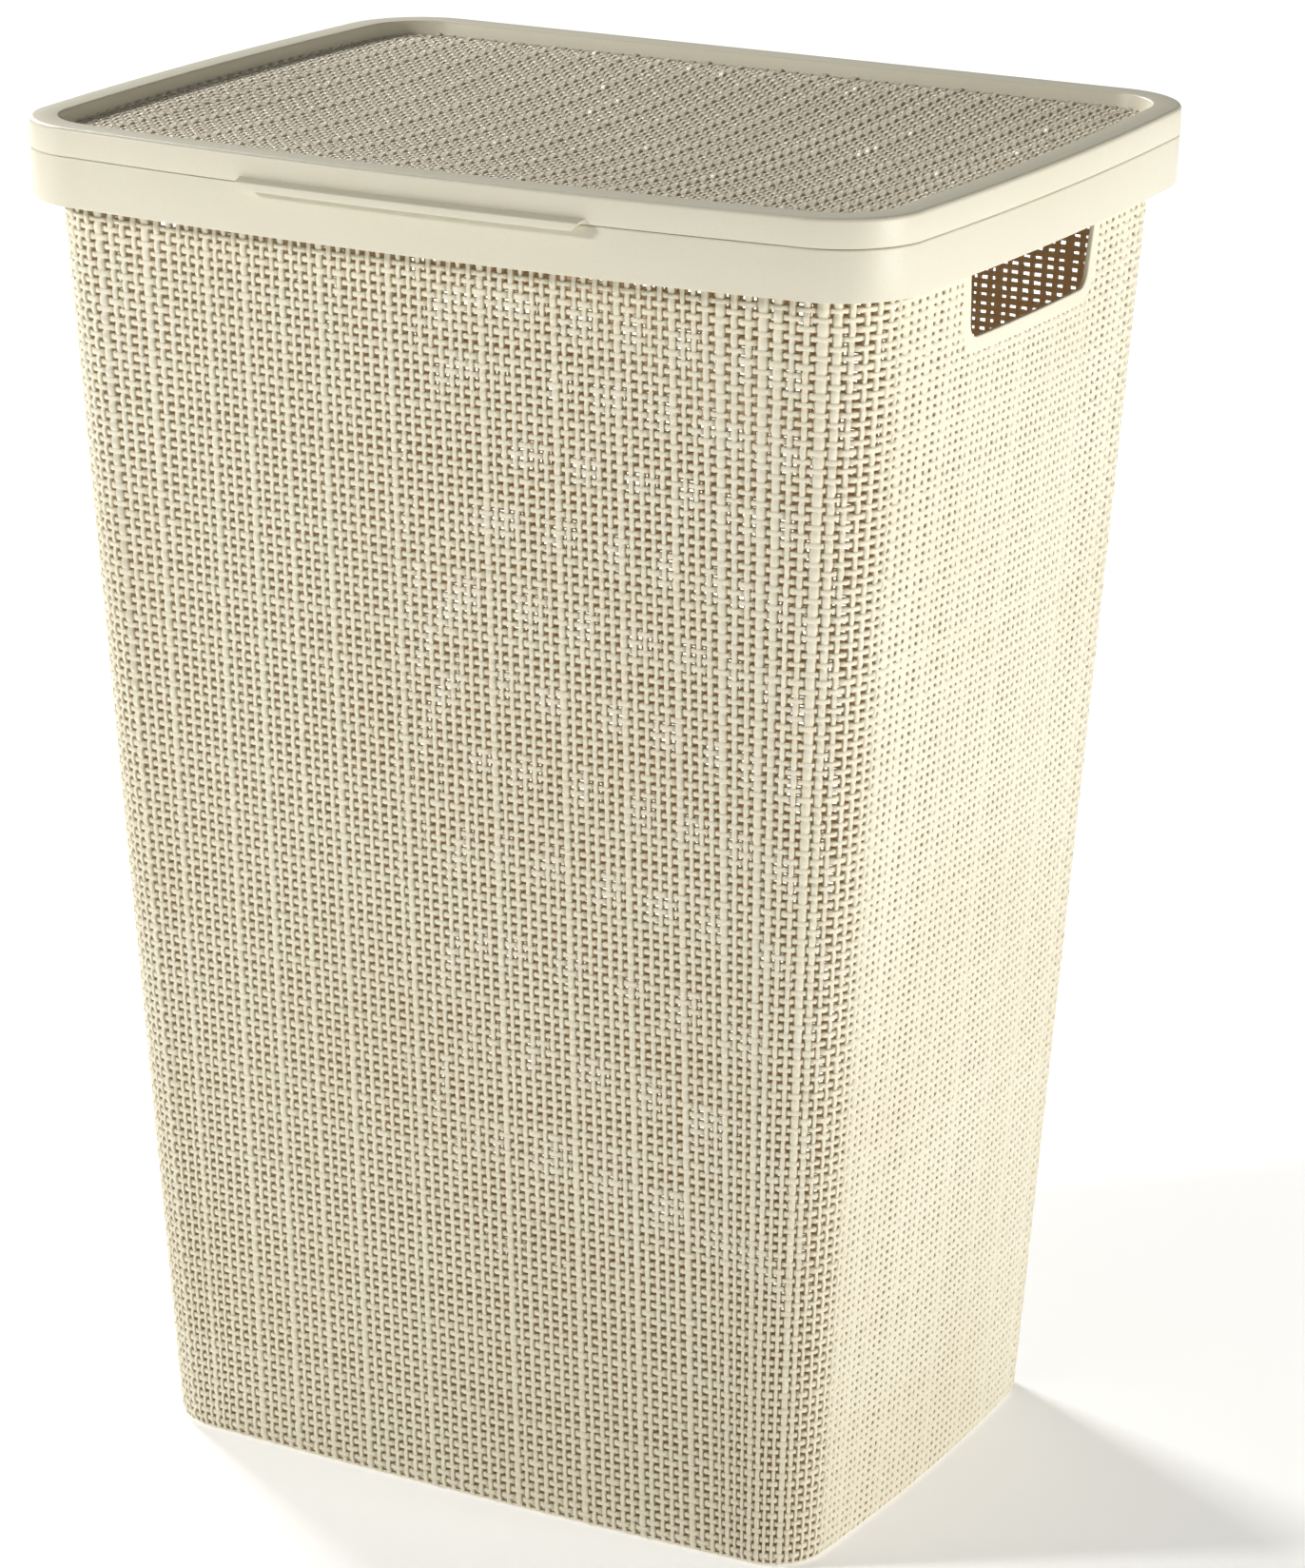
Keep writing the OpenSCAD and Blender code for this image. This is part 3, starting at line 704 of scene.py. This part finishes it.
# ---- Materials ---------------------------------------------------------------------------------
def plastic(name, light, dark, patch, grain, bump_depth, rough, gap_shade=None, inner=None,
            speckle=0.35, speck_from=0.72, speck_dark=0.86):
    """Moulded plastic: slow colour drift, fine speckle, roughness drift and a fine-grained bump.
    patch and grain are the scales of the drift and of the grain, in cycles per metre. The gap
    colour is painted shade down in a relief's gaps; inner colours the inner face, browner as painted
    shade inside the walls."""
    mat = bpy.data.materials.new(name)
    mat.use_nodes = True
    nt = mat.node_tree
    nt.nodes.clear()
    out = nt.nodes.new("ShaderNodeOutputMaterial")
    bsdf = nt.nodes.new("ShaderNodeBsdfPrincipled")
    nt.links.new(bsdf.outputs[0], out.inputs[0])
    coords = nt.nodes.new("ShaderNodeTexCoord")

    def noise(scale, detail, roughness=0.5):
        n = nt.nodes.new("ShaderNodeTexNoise")
        n.inputs["Scale"].default_value = scale
        n.inputs["Detail"].default_value = detail
        n.inputs["Roughness"].default_value = roughness
        nt.links.new(coords.outputs["Object"], n.inputs["Vector"])
        return n.outputs["Fac"]

    def remap(value, lo, hi, a, b):
        m = nt.nodes.new("ShaderNodeMapRange")
        m.inputs["From Min"].default_value, m.inputs["From Max"].default_value = lo, hi
        m.inputs["To Min"].default_value, m.inputs["To Max"].default_value = a, b
        nt.links.new(value, m.inputs["Value"])
        return m.outputs["Result"]

    def mix(fac, a, b):
        m = nt.nodes.new("ShaderNodeMix")
        m.data_type = "RGBA"
        nt.links.new(fac, m.inputs["Factor"])
        for sock, v in ((m.inputs["A"], a), (m.inputs["B"], b)):
            if isinstance(v, tuple):
                sock.default_value = (*v, 1)
            else:
                nt.links.new(v, sock)
        return m.outputs["Result"]

    drift = remap(noise(patch, 3), 0.35, 0.65, 0, 1)
    base = mix(drift, light, dark)
    speck = remap(noise(grain * 0.6, 2, 0.6), 0.5, speck_from, 0, speckle)
    base = mix(speck, base, tuple(c * speck_dark for c in dark))
    # painted shade by the depth attribute: the gap colour down in a relief's gaps, then the inner
    # colour on its inner face
    if gap_shade:
        shade_mask = nt.nodes.new("ShaderNodeAttribute")
        shade_mask.attribute_name = "depth"
        base = mix(remap(shade_mask.outputs["Fac"], 0, 1, 0, 1), base, gap_shade)
        base = mix(remap(shade_mask.outputs["Fac"], 1, 2, 0, 1), base, inner)
    nt.links.new(base, bsdf.inputs["Base Color"])
    roughness = remap(noise(grain * 0.25, 2), 0.3, 0.7, rough - 0.07, rough + 0.07)
    nt.links.new(roughness, bsdf.inputs["Roughness"])
    bump = nt.nodes.new("ShaderNodeBump")
    bump.inputs["Strength"].default_value = 0.35
    bump.inputs["Distance"].default_value = bump_depth
    nt.links.new(noise(grain, 3, 0.6), bump.inputs["Height"])
    nt.links.new(bump.outputs[0], bsdf.inputs["Normal"])
    bsdf.inputs["Specular IOR Level"].default_value = 0.4
    return mat


# painted shade on both weaves: dark brown down in their gaps
lid_weave = plastic("woven_lid", (0.88, 0.82, 0.67), (0.84, 0.77, 0.61), 9, 1700, 0.00018, 0.55,
                    gap_shade=(0.34, 0.26, 0.16), inner=(0.84, 0.78, 0.64),
                    speckle=0.6, speck_from=0.62, speck_dark=0.6)
# painted shade: the walls' inner face is orange-brown, standing in for the shaded inside of the
# hamper
wall_weave = plastic("woven_relief", (0.845, 0.795, 0.635), (0.815, 0.755, 0.59), 9, 1800,
                     0.00012, 0.5, gap_shade=(0.42, 0.345, 0.19), inner=(0.88, 0.67, 0.43))
smooth = plastic("satin_cream", (0.76, 0.72, 0.58), (0.73, 0.69, 0.545), 6, 2600, 0.00008, 0.42)
pin = plastic("pin_grey", (0.62, 0.60, 0.55), (0.56, 0.54, 0.49), 30, 3000, 0.00004, 0.35)
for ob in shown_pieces():
    ob.data.materials.clear()
    if ob.name.startswith("weave_lid"):
        ob.data.materials.append(lid_weave)
    elif ob.get("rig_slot") == "woven_polypropylene" or ob.name.startswith("slot_surround"):
        ob.data.materials.append(wall_weave)
    elif ob.name.startswith("hinge_pin"):
        ob.data.materials.append(pin)
    else:
        ob.data.materials.append(smooth)

# ---- Camera: the photo's angle, in metres and radians --------------------------------------------
yaw, pitch, roll = 0.50189, 0.31278, 0.009155
look = Vector((-math.sin(yaw) * math.cos(pitch), math.cos(yaw) * math.cos(pitch),
               -math.sin(pitch)))
level_right = Vector((math.cos(yaw), math.sin(yaw), 0))
level_up = level_right.cross(look)
right = level_right * math.cos(roll) + level_up * math.sin(roll)
up = -level_right * math.sin(roll) + level_up * math.cos(roll)
cam = bpy.data.objects.new("camera", bpy.data.cameras.new("camera"))
cam.data.lens, cam.data.sensor_width = 121.1, 36
cam_x, cam_y, cam_z = 1.1376, -2.0257, 1.0627
cam.matrix_world = Matrix(((right.x, up.x, -look.x, cam_x), (right.y, up.y, -look.y, cam_y),
                           (right.z, up.z, -look.z, cam_z), (0, 0, 0, 1)))
bpy.context.scene.collection.objects.link(cam)
bpy.context.scene.camera = cam

# ---- Floor: pale, with a glow that grows away from the hamper, like a lit sweep --------------------
FLOOR_REACH = 6.0
reach = [(x * FLOOR_REACH, y * FLOOR_REACH, 0) for x, y in ((-1, -1), (1, -1), (1, 1), (-1, 1))]
sheet = bpy.data.meshes.new("floor")
sheet.from_pydata(reach, [], [(0, 1, 2, 3)])
floor = bpy.data.objects.new("floor", sheet)
bpy.context.scene.collection.objects.link(floor)
pale = bpy.data.materials.new("floor")
pale.use_nodes = True
nodes, links = pale.node_tree.nodes, pale.node_tree.links
shader = nodes["Principled BSDF"]
shader.inputs["Base Color"].default_value = (0.9, 0.9, 0.9, 1)
shader.inputs["Roughness"].default_value = 0.9
shader.inputs["Emission Color"].default_value = (1, 1, 1, 1)
coords = nodes.new("ShaderNodeTexCoord")
distance = nodes.new("ShaderNodeVectorMath")
distance.operation = "LENGTH"
links.new(coords.outputs["Object"], distance.inputs[0])
glow = nodes.new("ShaderNodeMapRange")
for key, value in (("From Min", 0.2), ("From Max", 2.2), ("To Min", 0.3), ("To Max", 0.8)):
    glow.inputs[key].default_value = value
links.new(distance.outputs["Value"], glow.inputs["Value"])
links.new(glow.outputs["Result"], shader.inputs["Emission Strength"])
floor.data.materials.append(pale)

# ---- Light -----------------------------------------------------------------------------------------
WARM_WHITE = (1, 0.99, 0.97)


def area(name, at, towards, size, watts):
    """Rectangular soft light."""
    light = bpy.data.lights.new(name, "AREA")
    light.shape, light.color, light.energy = "RECTANGLE", WARM_WHITE, watts
    light.size, light.size_y = size
    ob = bpy.data.objects.new(name, light)
    ob.location = at
    ob.rotation_euler = (Vector(towards) - Vector(at)).to_track_quat("-Z", "Y").to_euler()
    bpy.context.scene.collection.objects.link(ob)


area("key", (2.8, -0.1, 0.4), (0, 0, 0.3), (1.1, 0.8), 44.5)        # low: it lights the right side
area("fill", (-2.3, -1.95, 1.8), (0, 0, 0.3), (0.3, 0.4), 57)       # the front
area("top", (-2.6, 1.5, 2.1), (0, 0, 0.6), (0.8, 0.8), 98)          # the lid's weave, from behind
world = bpy.data.worlds.new("studio")
world.use_nodes = True
background = world.node_tree.nodes["Background"]
background.inputs["Color"].default_value = (1, 1, 1, 1)
background.inputs["Strength"].default_value = 0.13
bpy.context.scene.world = world
bpy.context.scene.view_settings.view_transform = "Standard"
